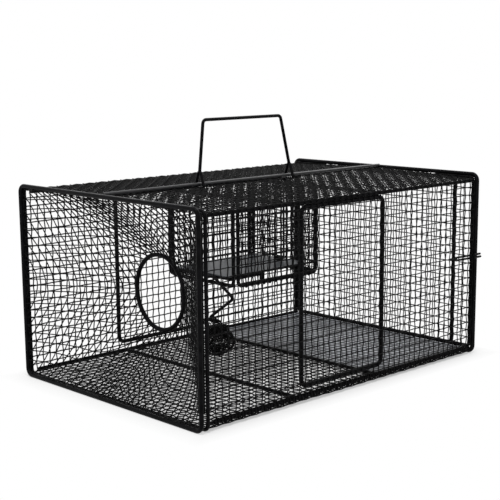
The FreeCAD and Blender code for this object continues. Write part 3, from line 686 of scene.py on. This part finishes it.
@dataclass
class CageMesh:
    """The floor, the two long walls and the two halves of the roof.

    Attributes:
        dresser: What finishes the pieces.
        lap: How far the wires reach into the front hoop in metres.
        near_wire: The diameter of the near wall's wire with its paint in metres.
        far_wire: The diameter of the far wall's wire with its paint in metres.
        roof_wire: The diameter of the roof's wire with its paint in metres.
        eye_inset: How far the middle of a handle's eye lies from the handle's end in metres.
        slot: Half the size of an eye's slot, along and across the roof, in metres.
        slot_levels: The levels between which a slot is cut, in metres.
    """

    dresser: Dresser
    lap: float = 0.4 * MM
    near_wire: float = 0.80 * MM
    far_wire: float = 1.0 * MM
    roof_wire: float = 0.68 * MM
    eye_inset: float = 1.4 * MM
    slot: tuple[float, float] = (2.4 * MM, 8.6 * MM)
    slot_levels: tuple[float, float] = (130 * MM, 150 * MM)

    def __post_init__(self) -> None:
        """Finds where the wires start, at the back of the front hoop."""
        self.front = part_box("front_hoop")[1].x - self.lap

    def eye_slots(self) -> list[tuple[Vector, Vector]]:
        """Returns the boxes of the roof where the handle's eyes swing."""
        low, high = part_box("handle")
        along, across = self.slot
        bottom, top = self.slot_levels
        return [
            (Vector((eye - along, -across, bottom)), Vector((eye + along, across, top)))
            for eye in (low.x + self.eye_inset, high.x - self.eye_inset)
        ]

    def upright(self, node: str, wire: float, gaps: Callable[[Vector], bool] | None = None) -> None:
        """Builds one long wall.

        Args:
            node: The CAD node that it stands for.
            wire: The wire's diameter with its paint in metres.
            gaps: A test of places where there is no wire.
        """
        low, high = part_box(node)
        corner = Vector((self.front, (low.y + high.y) / 2, low.z))
        net = WovenNet(corner, ALONG, UP, high.x - self.front, high.z - low.z, wire=wire)
        self.dresser.finish_net(net.build(gaps), node)

    def floor(self, node: str) -> None:
        """Builds the floor.

        Args:
            node: The CAD node that it stands for.
        """
        low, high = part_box(node)
        corner = Vector((self.front, low.y, (low.z + high.z) / 2))
        net = WovenNet(corner, ALONG, SIDEWAYS, high.x - self.front, high.y - low.y, wander=0.2 * MM)
        self.dresser.finish_net(net.build(), node)

    def roof(self, node: str) -> None:
        """Builds one half of the roof.

        Args:
            node: The CAD node that it stands for.
        """
        low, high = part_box(node)
        near = low.y + high.y < 0
        inner, outer = (high.y, low.y) if near else (low.y, high.y)
        ridge = Vector((self.front, inner, high.z - SHEET_HALF))
        slope = Vector((self.front, outer, low.z + SHEET_HALF)) - ridge
        net = WovenNet(
            ridge,
            ALONG,
            slope.normalized(),
            high.x - self.front,
            slope.length,
            wire=self.roof_wire,
            wander=0.35 * MM,
        )
        self.dresser.finish_net(net.build(inside(self.eye_slots())), node)

    def build(self) -> None:
        """Builds all five panels."""
        self.floor("floor_net")
        self.upright("near_wall_net", self.near_wire)
        self.upright("far_wall_net", self.far_wire, inside(ring_notches()))
        self.roof("near_roof_net")
        self.roof("far_roof_net")


@dataclass
class Funnel:
    """The sheet of mesh that is drawn from the front hoop to the entrance ring.

    Attributes:
        dresser: What finishes the pieces.
        corner: How square the front outline is, as the power of a superellipse.
        flare: How far the sheet's slope grows towards the ring, where 1 is a straight slope.
        margin: How far the flat sheet reaches past the frame before it is trimmed, in metres.
        pull: How far the drawing pulls the sheet in along its wires, in metres.
        slack: How much of that pull there is at the ring across the diagonals, where the weave gives.
        reach: How far the sheet reaches up past the CAD's funnel, to the inner hoop, in metres.
        lip: How far the sheet's hole lies inside the ring's outer edge in metres.
        overlap: How far the sheet goes on past its hole, as a share of its way to the frame.
    """

    dresser: Dresser
    corner: float = 14.0
    flare: float = 0.85
    margin: float = 42 * MM
    pull: float = 16 * MM
    slack: float = 0.5
    reach: float = 2.2 * MM
    lip: float = 0.7 * MM
    overlap: float = 0.02

    def __post_init__(self) -> None:
        """Reads the funnel's two ends."""
        low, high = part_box("entrance_funnel")
        ring_low, ring_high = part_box("entrance_ring")
        self.front = low.x
        self.back = (ring_low.x + ring_high.x) / 2
        self.centre = (ring_low + ring_high) / 2
        self.ring = ((ring_high.y - ring_low.y) / 2 - self.lip, (ring_high.z - ring_low.z) / 2 - self.lip)
        self.low = low
        self.high = high + UP * self.reach

    def outer(self, angle: float) -> float:
        """Works out the distance from the ring's middle to the front outline.

        Args:
            angle: The direction in radians.

        Returns:
            The distance in metres.
        """
        c, s = math.cos(angle), math.sin(angle)
        half_y = self.high.y if c > 0 else -self.low.y
        half_z = self.high.z - self.centre.z if s > 0 else self.centre.z - self.low.z
        power = self.corner
        return (abs(c / half_y) ** power + abs(s / half_z) ** power) ** (-1 / power)

    def inner(self, angle: float) -> float:
        """Returns the distance from the ring's middle to the ring in a direction."""
        return ((math.cos(angle) / self.ring[0]) ** 2 + (math.sin(angle) / self.ring[1]) ** 2) ** -0.5

    def polar(self, place: Vector) -> tuple[float, float]:
        """Returns the direction and distance of a place from the ring's axis."""
        y, z = place.y, place.z - self.centre.z
        return math.atan2(z, y), math.hypot(y, z)

    def share(self, place: Vector) -> float:
        """Works out how far out a place of the flat sheet lands.

        Args:
            place: The place on the flat sheet.

        Returns:
            A share of the way, from 0 at the ring to 1 at the frame.
        """
        angle, distance = self.polar(place)
        inner, outer = self.inner(angle), self.outer(angle)
        stiff = math.cos(2 * angle) ** 2
        slope = 1 + (math.hypot(1, (self.back - self.front) / (outer - inner)) - 1) * stiff
        extra = self.pull * self.slack * (1 - stiff)
        return (distance - inner - self.pull * stiff - extra) / ((outer - inner) * slope - extra)

    def waste(self, place: Vector) -> bool:
        """Returns whether a place of the flat sheet is cut away, at the ring's hole or past the frame."""
        return not -self.overlap < self.share(place) < 1.0

    def draw(self, place: Vector) -> Vector:
        """Draws a place of the flat sheet to the ring.

        Args:
            place: The place on the flat sheet.

        Returns:
            Where it goes.
        """
        angle = self.polar(place)[0]
        inner, outer = self.inner(angle), self.outer(angle)
        share = min(1.0, max(0.0, self.share(place)))
        reach = inner + (outer - inner) * share
        depth = (self.back - self.front) * (1 - share) ** self.flare
        lift = place.x - self.front
        return Vector(
            (
                self.front + depth + lift,
                reach * math.cos(angle),
                self.centre.z + reach * math.sin(angle),
            )
        )

    def build(self) -> None:
        """Builds the drawn sheet."""
        corner = Vector((self.front, self.low.y - self.margin, self.low.z - self.margin))
        net = WovenNet(
            corner,
            SIDEWAYS,
            UP,
            self.high.y - self.low.y + 2 * self.margin,
            self.high.z - self.low.z + 2 * self.margin,
            fineness=4,
            wander=0.7 * MM,
        )
        item = net.build(self.waste, self.draw)
        self.dresser.finish(item, "funnel_mesh", ["entrance_funnel"])


@dataclass
class GalleryMesh:
    """The three mesh sides of the hanging gallery.

    Attributes:
        dresser: What finishes the pieces.
        rounding: How far the lower corners are cut for the bends of the frame in metres.
    """

    dresser: Dresser
    rounding: float = 2.6 * MM

    def panel(self, node: str, axis: int) -> None:
        """Builds one side.

        Args:
            node: The CAD node that it stands for.
            axis: The axis that it lies along, 0 for X or 1 for Y.
        """
        low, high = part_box(node)
        corner = (low + high) / 2
        corner[axis] = low[axis]
        corner.z = low.z
        along = (ALONG, SIDEWAYS)[axis]
        length = high[axis] - low[axis]
        net = WovenNet(corner, along, UP, length, high.z - low.z, wire=1.0 * MM, wander=0.5 * MM)

        def cut(place: Vector) -> bool:
            """Returns whether a place is under the frame's bend."""
            reach = min(place[axis] - low[axis], high[axis] - place[axis])
            return reach + (place.z - low.z) < self.rounding

        self.dresser.finish_net(net.build(cut), node)

    def build(self) -> None:
        """Builds the three sides."""
        self.panel("gallery_near_net", 0)
        self.panel("gallery_far_net", 0)
        self.panel("gallery_rear_net", 1)


@dataclass
class Hems:
    """The mesh's edges where they are wrapped round the rods that carry them.

    Attributes:
        dresser: What finishes the pieces.
        wire: The mesh wire's diameter in metres.
        pitch: The steps between two wraps in metres.
        inset: How far from a rod's ends the wraps stop, in metres.
        post_inset: How far from the top and bottom of a post its wires stop, in metres.
        second: Where a post's second wire lies, with the first one's distance as 1.
        rises: How far up the gap at the roof's rear end each wire starts at the eave, as a share.
        flats: How many flats a wrap has round its turn, and round its wire.
    """

    dresser: Dresser
    wire: float = 0.84 * MM
    pitch: float = 6.0 * MM
    inset: float = 6 * MM
    post_inset: float = 14 * MM
    second: float = 1.42
    rises: tuple[float, float] = (0.35, 0.85)
    flats: tuple[int, int] = (10, 5)

    def bar(
        self, start: Vector, end: Vector, radius: float, sides: Sequence[Vector], wrapped: bool = True
    ) -> bpy.types.Object:
        """Builds the wraps round one straight bar and the mesh wires that lie along it.

        Args:
            start: The bar's first end.
            end: The bar's last end.
            radius: The bar's radius in metres.
            sides: Where mesh wires lie along it, from its middle, with a wire's touching distance as 1.
            wrapped: Whether the mesh is wrapped round it, or else only lies along it.

        Returns:
            The wrapped edge as one mesh.
        """
        length = (end - start).length
        reach = radius + self.wire / 2
        turn = (end - start).to_track_quat("Z", "Y").to_euler()
        parts = []
        count = round(length / self.pitch) if wrapped else 0
        for index in range(count):
            place = start.lerp(end, (index + 0.5) / count)
            parts.append(add_turn(place, reach, self.wire, turn, self.flats))
        for side in sides:
            middle = (start + end) / 2 + side * reach
            bpy.ops.object.select_all(action="DESELECT")
            bpy.ops.mesh.primitive_cylinder_add(
                vertices=6, radius=self.wire / 2, depth=length, location=middle, rotation=turn
            )
            parts.append(bpy.context.object)
        item = join(parts)
        bpy.ops.object.shade_smooth()
        return item

    def level(self, node: str, axis: int, across: int) -> bpy.types.Object:
        """Builds the wrapped edge on a straight rod, or on the level bar of a U-shaped frame.

        Args:
            node: The rod's or the frame's CAD node.
            axis: The axis that the rod or bar lies along, 0 for X or 1 for Y.
            across: The axis along which the node is as thick as its wire.

        Returns:
            The wrapped edge as one mesh.
        """
        low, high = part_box(node)
        radius = (high[across] - low[across]) / 2
        start = (low + high) / 2
        start.z = low.z + radius
        end = start.copy()
        start[axis] = low[axis] + self.inset
        end[axis] = high[axis] - self.inset
        return self.bar(start, end, radius, (UP,))

    def upright(self, node: str) -> bpy.types.Object:
        """Builds the mesh's edge along the near post of a hoop.

        Args:
            node: The hoop's CAD node.

        Returns:
            The wires as one mesh.
        """
        low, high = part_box(node)
        radius = (high.x - low.x) / 2
        start = Vector((low.x + radius, low.y + radius, low.z + self.post_inset))
        end = Vector((start.x, start.y, high.z - self.post_inset))
        return self.bar(start, end, radius, (ALONG, ALONG * self.second), wrapped=False)

    def roof_end(self) -> bpy.types.Object:
        """Builds the roof's rear edge, where its wires fill the gap up to the rear hoop."""
        hoop_low, hoop_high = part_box("rear_hoop")
        net_low, net_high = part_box("near_roof_net")
        under = hoop_high.z - (hoop_high.x - hoop_low.x)
        eave = net_low.z + self.wire
        meeting = net_low.y * (net_high.z - under) / (net_high.z - eave)
        place = net_high.x - self.wire / 2
        parts = []
        for side in (-1, 1):
            for rise in self.rises:
                start = Vector((place, -side * meeting, under))
                end = Vector((place, -side * (net_low.y + MM), eave + (under - eave) * rise))
                parts.append(self.bar(start, end, 0.0, (Vector(),), wrapped=False))
        return join(parts)

    def build(self) -> None:
        """Builds the edges of the roof, the near wall and the gallery, whose front is open."""
        self.dresser.finish(self.roof_end(), "roof_rear_hem")
        self.dresser.finish(self.upright("front_hoop"), "near_front_hem")
        self.dresser.finish(self.level("near_bottom_rod", 0, across=2), "near_bottom_hem")
        self.dresser.finish(self.level("gallery_near_frame", 0, across=1), "gallery_near_hem")
        self.dresser.finish(self.level("gallery_far_frame", 0, across=1), "gallery_far_hem")
        self.dresser.finish(self.level("gallery_rear_frame", 1, across=0), "gallery_rear_hem")


@dataclass
class DoorMesh:
    """The mesh of the rear door, on both sides of its upright bar.

    Attributes:
        dresser: What finishes the pieces.
        gap: The distance between the mesh and the bar in metres.
        notch: How far the notch for the latch's eye reaches round it in metres.
    """

    dresser: Dresser
    gap: float = 0.2 * MM
    notch: float = 4 * MM

    def build(self) -> None:
        """Builds the two parts of the door's mesh as one piece."""
        low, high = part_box("door_net")
        bar_low, bar_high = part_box("door_bar")
        latch_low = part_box("latch")[0]
        eye = (bar_low.y + bar_high.y) / 2
        bottom = Vector((low.x - self.notch, eye - self.notch, latch_low.z - MM))
        top = Vector((high.x + self.notch, eye + self.notch, latch_low.z + self.notch))
        gaps = inside([*ring_notches(), (bottom, top)])
        parts = []
        for start, end in ((low.y, bar_low.y - self.gap), (bar_high.y + self.gap, high.y)):
            corner = Vector(((low.x + high.x) / 2, start, low.z))
            net = WovenNet(corner, SIDEWAYS, UP, end - start, high.z - low.z, wander=0.4 * MM)
            parts.append(net.build(gaps))
        self.dresser.finish_net(join(parts), "door_net", "door")


@dataclass
class ScrapRoll:
    """The crumpled lump of scrap mesh that is the counterweight.

    Attributes:
        dresser: What finishes the pieces.
        wire: The wire's diameter in metres.
        layers: Each layer's share of the lump's size, its crumpling and the size of its folds in metres.
        knot: Half the size of the knot at the arm in metres.
        knot_place: Where the knot is, from the middle of the lump's top, in metres.
        knot_fold: The knot's crumpling and the size of its folds in metres.
    """

    dresser: Dresser
    wire: float = 0.75 * MM
    layers: tuple[tuple[float, float, float], ...] = (
        (0.98, 7 * MM, 9 * MM),
        (0.84, 9 * MM, 6 * MM),
        (0.60, 9 * MM, 5 * MM),
    )
    knot: tuple[float, float, float] = (5.0 * MM, 8.0 * MM, 5.0 * MM)
    knot_place: tuple[float, float, float] = (0.0, 7.5 * MM, -2.0 * MM)
    knot_fold: float = 4 * MM

    def layer(self, middle: Vector, spread: Vector, crumple: float, size: float) -> bpy.types.Object:
        """Builds one crumpled layer of mesh.

        Args:
            middle: The middle of the layer.
            spread: Half of its size along each axis in metres.
            crumple: How far it is crumpled in metres.
            size: The size of its folds in metres.

        Returns:
            The layer as a mesh of wires.
        """
        bpy.ops.object.select_all(action="DESELECT")
        bpy.ops.mesh.primitive_uv_sphere_add(segments=16, ring_count=10, radius=1, location=middle)
        item = bpy.context.object
        item.scale = spread
        settle(item)
        ripple(item, crumple, size)
        add_modifier(item, "WIREFRAME", thickness=self.wire, use_even_offset=False, use_boundary=True)
        return item

    def build(self) -> None:
        """Builds the lump from its layers, and the knot that holds it to the arm."""
        low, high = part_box("counterweight")
        middle, half = (low + high) / 2, (high - low) / 2
        parts = [self.layer(middle, half * share, crumple, size) for share, crumple, size in self.layers]
        top = Vector((middle.x, middle.y, high.z))
        knot = top + Vector(self.knot_place)
        parts.append(self.layer(knot, Vector(self.knot), self.knot_fold, self.knot_fold))
        self.dresser.finish(join(parts), "scrap_roll", ["counterweight"], "treadle")


@dataclass
class HookWinding:
    """The turns of wire that are wound round the bait hook's level end.

    Attributes:
        dresser: What finishes the pieces.
        turns: How many turns there are.
        step: The distance between two turns in metres.
        reach: The turns' radius, to the middle of their wire, in metres.
        wire: The wire's diameter in metres.
        lift: How far the turns sit above the hook's own wire in metres.
        start: How far the middle turn is from the hook's front in metres.
        radius: The radius of the hook's own wire in metres.
        lean: The turns' angle to the hook's level end in degrees.
        flats: How many flats a turn has round it, and round its wire.
    """

    dresser: Dresser
    turns: int = 5
    step: float = 1.2 * MM
    reach: float = 1.45 * MM
    wire: float = 1.3 * MM
    lift: float = 0.7 * MM
    start: float = 7.0 * MM
    radius: float = 0.8 * MM
    lean: float = 86.0
    flats: tuple[int, int] = (16, 8)

    def build(self) -> None:
        """Builds the turns, from the bend under the shank towards the tip."""
        low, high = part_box("bait_hook")
        middle = Vector((low.x + self.start, (low.y + high.y) / 2, low.z + self.radius + self.lift))
        turn = (0, math.radians(self.lean), 0)
        parts = []
        for index in range(self.turns):
            shift = (index - (self.turns - 1) / 2) * self.step
            place = middle + ALONG * shift
            parts.append(add_turn(place, self.reach, self.wire, turn, self.flats))
        item = join(parts)
        bpy.ops.object.shade_smooth()
        self.dresser.finish(item, "hook_winding", body="bait_hook", slot="small_wire")


@dataclass(frozen=True)
class Lamp:
    """A soft square lamp.

    Attributes:
        name: The lamp's name.
        place: Where it hangs, in metres.
        size: The length of its side in metres.
        power: Its power in watts.
    """

    name: str
    place: tuple[float, float, float]
    size: float
    power: float

    def hang(self, look: Vector) -> None:
        """Adds the lamp.

        Args:
            look: The point that it faces.
        """
        data = bpy.data.lights.new(self.name, "AREA")
        data.size = self.size
        data.energy = self.power
        item = bpy.data.objects.new(self.name, data)
        item.location = self.place
        item.rotation_euler = (look - Vector(self.place)).to_track_quat("-Z", "Y").to_euler()
        bpy.context.scene.collection.objects.link(item)


LAMPS = (
    Lamp("top_lamp", (-0.35, -0.25, 1.3), 0.45, 9.0),
    Lamp("left_lamp", (-1.5, -0.7, 0.7), 0.5, 4.0),
    Lamp("back_lamp", (0.5, 1.4, 1.1), 0.6, 4.0),
    Lamp("right_lamp", (1.15, 0.25, 1.15), 0.6, 4.0),
)


@dataclass
class Studio:
    """The floor, the lamps, the world and the camera.

    Attributes:
        look: The point that the camera looks at, in metres.
        azimuth: The camera's direction round the object in degrees.
        elevation: Its height in degrees.
        roll: Its tilt in degrees.
        distance: Its distance in metres.
        lens: Its focal length in millimetres, on a sensor of the width that follows.
        sensor: The sensor's width in millimetres.
        shift: How far its picture is moved, as shares of the picture's width.
        ambient: The strength of the world's light on the object.
        floor_tone: The floor's own grey.
        floor_size: The length of the floor's side in metres.
        whiteness: How much of the floor under the object is white of its own, for the camera.
        fade: The shares of the object's outline between which the floor turns all white, which paints out
            the object's shadow past its outline.
    """

    look: Vector
    azimuth: float = -43.9
    elevation: float = 10.55
    roll: float = -0.40
    distance: float = 0.8941
    lens: float = 83.66
    sensor: float = 36.0
    shift: tuple[float, float] = (-0.0138, 0.0448)
    ambient: float = 0.35
    floor_tone: float = 0.92
    floor_size: float = 12.0
    whiteness: float = 0.3
    fade: tuple[float, float] = (0.90, 1.12)

    def camera(self) -> None:
        """Sets the camera where the photograph was taken."""
        a, e, r = (math.radians(v) for v in (self.azimuth, self.elevation, self.roll))
        back = Vector((math.sin(a) * math.cos(e), -math.cos(a) * math.cos(e), math.sin(e)))
        right = Vector((math.cos(a), math.sin(a), 0))
        up = back.cross(right)
        right_turned = right * math.cos(r) + up * math.sin(r)
        up_turned = up * math.cos(r) - right * math.sin(r)
        data = bpy.data.cameras.new("camera")
        data.sensor_width = self.sensor
        data.lens = self.lens
        data.shift_x, data.shift_y = self.shift
        data.clip_start = 10 * MM
        data.clip_end = 20
        item = bpy.data.objects.new("camera", data)
        turn = Matrix((right_turned, up_turned, back)).transposed().to_4x4()
        item.matrix_world = Matrix.Translation(self.look + back * self.distance) @ turn
        bpy.context.scene.collection.objects.link(item)
        bpy.context.scene.camera = item

    def seen_rays(self, tree: bpy.types.NodeTree) -> bpy.types.NodeSocket:
        """Finds what the camera sees, straight, mirrored or through glass.

        Args:
            tree: The node tree that uses it.

        Returns:
            An output that is 1 for what is seen, and else 0.
        """
        rays = add_node(tree, "LightPath").outputs
        total = rays["Is Camera Ray"]
        for name in ("Is Glossy Ray", "Is Transmission Ray"):
            total = combine(tree, "ADD", total, rays[name], clamp=True)
        return total

    def world(self) -> None:
        """Makes the world a plain soft light, and white to the camera and in reflections."""
        world = bpy.data.worlds.new("studio")
        bpy.context.scene.world = world
        world.use_nodes = True
        tree = world.node_tree
        light = tree.nodes["Background"]
        light.inputs["Color"].default_value = WHITE
        light.inputs["Strength"].default_value = self.ambient
        seen = add_node(tree, "Background", {"Color": WHITE, "Strength": 1.0})
        looks = {"Fac": self.seen_rays(tree), 1: light.outputs["Background"], 2: seen.outputs["Background"]}
        mix = add_node(tree, "MixShader", looks)
        tree.links.new(mix.outputs["Shader"], tree.nodes["World Output"].inputs["Surface"])

    def reach(self, tree: bpy.types.NodeTree) -> bpy.types.NodeSocket:
        """Finds how far out a place of the floor is.

        Args:
            tree: The floor's node tree.

        Returns:
            An output that is 1 where the object's outline on the floor ends.
        """
        place = add_node(tree, "TexCoord").outputs["Object"]
        size = (CAD_BOX[1].x, CAD_BOX[1].y, 1)
        scaled = add_node(tree, "VectorMath", {0: place, 1: size}, operation="DIVIDE")
        flat = add_node(tree, "VectorMath", {0: scaled.outputs["Vector"]}, operation="ABSOLUTE")
        split = add_node(tree, "SeparateXYZ", {"Vector": flat.outputs["Vector"]}).outputs
        return combine(tree, "MAXIMUM", split["X"], split["Y"])

    def floor(self) -> None:
        """Adds the white floor, which shows the object's real shadow under it and is painted pure white
        past its outline, where the shadow is painted out.
        """
        bpy.ops.object.select_all(action="DESELECT")
        bpy.ops.mesh.primitive_plane_add(size=self.floor_size, location=(0, 0, 0))
        item = bpy.context.object
        item.name = "studio_floor"
        settle(item)
        material = bpy.data.materials.new("studio_floor")
        material.use_nodes = True
        tree = material.node_tree
        shader = tree.nodes["Principled BSDF"]
        shader.inputs["Base Color"].default_value = (*(self.floor_tone,) * 3, 1)
        shader.inputs["Roughness"].default_value = 0.9
        shader.inputs["Specular IOR Level"].default_value = 0.1
        # Painted light: the floor's own white is weak under the object and full past its outline, so the
        # shadow there is painted out.
        faded = remap(tree, self.reach(tree), self.fade, (self.whiteness, 1.0))
        share = combine(tree, "MULTIPLY", faded, self.seen_rays(tree))
        white = add_node(tree, "Emission", {"Color": WHITE})
        looks = {"Fac": share, 1: shader.outputs["BSDF"], 2: white.outputs["Emission"]}
        mix = add_node(tree, "MixShader", looks)
        tree.links.new(mix.outputs["Shader"], tree.nodes["Material Output"].inputs["Surface"])
        item.data.materials.append(material)

    def build(self) -> None:
        """Sets up the whole studio."""
        bpy.context.scene.view_settings.view_transform = "Standard"
        self.camera()
        self.world()
        self.floor()
        for lamp in LAMPS:
            lamp.hang(self.look)
        LOG.info("studio is set")


def main() -> None:
    """Builds the pieces in order."""
    logging.basicConfig(level=logging.INFO, format="%(name)s: %(message)s")
    Studio(look=Vector((-1.15 * MM, 0, 72.7 * MM))).build()
    dresser = Dresser()
    dresser.paint_cad()
    CageMesh(dresser).build()
    Funnel(dresser).build()
    GalleryMesh(dresser).build()
    Hems(dresser).build()
    DoorMesh(dresser).build()
    ScrapRoll(dresser).build()
    HookWinding(dresser).build()


if __name__ == "__main__":
    main()
